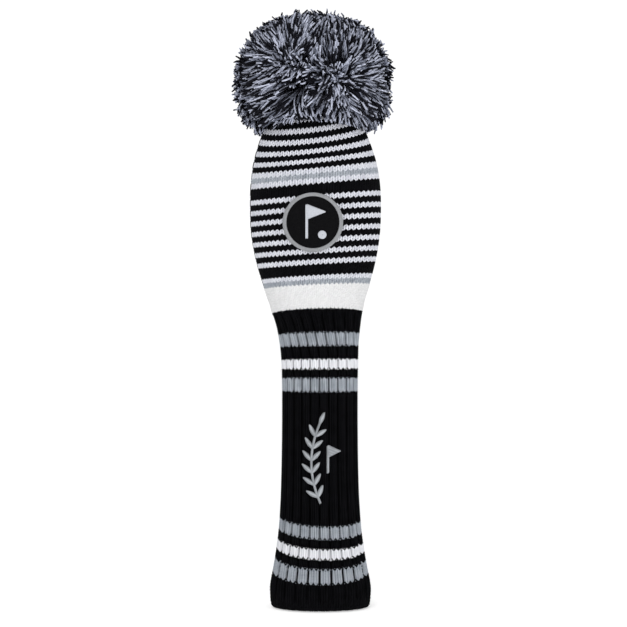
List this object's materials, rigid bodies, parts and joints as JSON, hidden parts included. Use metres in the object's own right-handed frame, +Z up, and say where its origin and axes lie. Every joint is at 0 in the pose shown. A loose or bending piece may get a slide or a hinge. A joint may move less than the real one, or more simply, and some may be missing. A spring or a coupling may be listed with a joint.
{
  "type": "driver head cover",
  "caption": "Long-neck knitted golf club head cover with a pom-pom, striped bell, ribbed neck, round patch and folded hem.",
  "frame": {"origin": "middle of the object's box at its lowest level, on the hem's resting face", "axes": "+Z up from the hem to the pom-pom, -Y the front with the patch, +X to the right seen from the front"},
  "size_m": [0.116, 0.1102, 0.43],
  "materials": {
    "black_knit_yarn": "matte",
    "white_knit_yarn": "matte",
    "grey_knit_yarn": "matte",
    "lining_fabric": "matte",
    "elastic": "matte",
    "felt": "matte",
    "black_thread": "matte",
    "silver_thread": "satin",
    "patch_black": "matte",
    "patch_grey": "matte",
    "patch_silver": "satin",
    "tie_cord": "matte",
    "pom_black_yarn": "matte",
    "pom_grey_yarn": "matte"
  },
  "bodies": {
    "cover": {"bell_knit": "black_knit_yarn", "neck_knit": "black_knit_yarn", "hem_cuff": "black_knit_yarn", "bell_side_seam": "black_thread", "neck_side_seam": "black_thread", "bell_lining": "lining_fabric", "neck_lining": "lining_fabric", "upper_neck_elastic": "elastic", "lower_neck_elastic": "elastic", "hem_elastic": "elastic", "bell_linking_thread": "black_thread", "hem_linking_thread": "black_thread", "lining_linking_thread": "black_thread", "lining_hem_thread": "black_thread", "patch_base": "patch_black", "patch_rim": "patch_grey", "patch_edge_thread": "silver_thread", "patch_flag": "patch_silver", "patch_ball": "patch_silver", "neck_sprig": "silver_thread", "neck_flag": "silver_thread", "embroidery_backing": "felt", "crown_gather_cord": "tie_cord", "crown_anchor_disc": "felt", "tie_knot": "tie_cord"},
    "tie_stem": {"tie_stem": "tie_cord"},
    "tie_loop": {"tie_loop": "tie_cord"},
    "pompom": {"pom_binding": "tie_cord", "pompom_yarn": "pom_grey_yarn"}
  },
  "joints": [
    {"name": "pompom_nod", "type": "hinge", "parent": "cover", "child": "tie_stem", "pos_m": [0, 0, 0.3695], "axis": [1, 0, 0], "range_deg": [-10, 10], "stiffness_Nm_per_rad": 0.1},
    {"name": "pompom_sway", "type": "hinge", "parent": "tie_stem", "child": "tie_loop", "pos_m": [0, 0, 0.3695], "axis": [0, 1, 0], "range_deg": [-10, 10], "stiffness_Nm_per_rad": 0.1},
    {"name": "pompom_twist", "type": "hinge", "parent": "tie_loop", "child": "pompom", "pos_m": [0, 0, 0.3695], "axis": [0, 0, 1], "range_deg": [-30, 30], "stiffness_Nm_per_rad": 0.02}
  ]
}
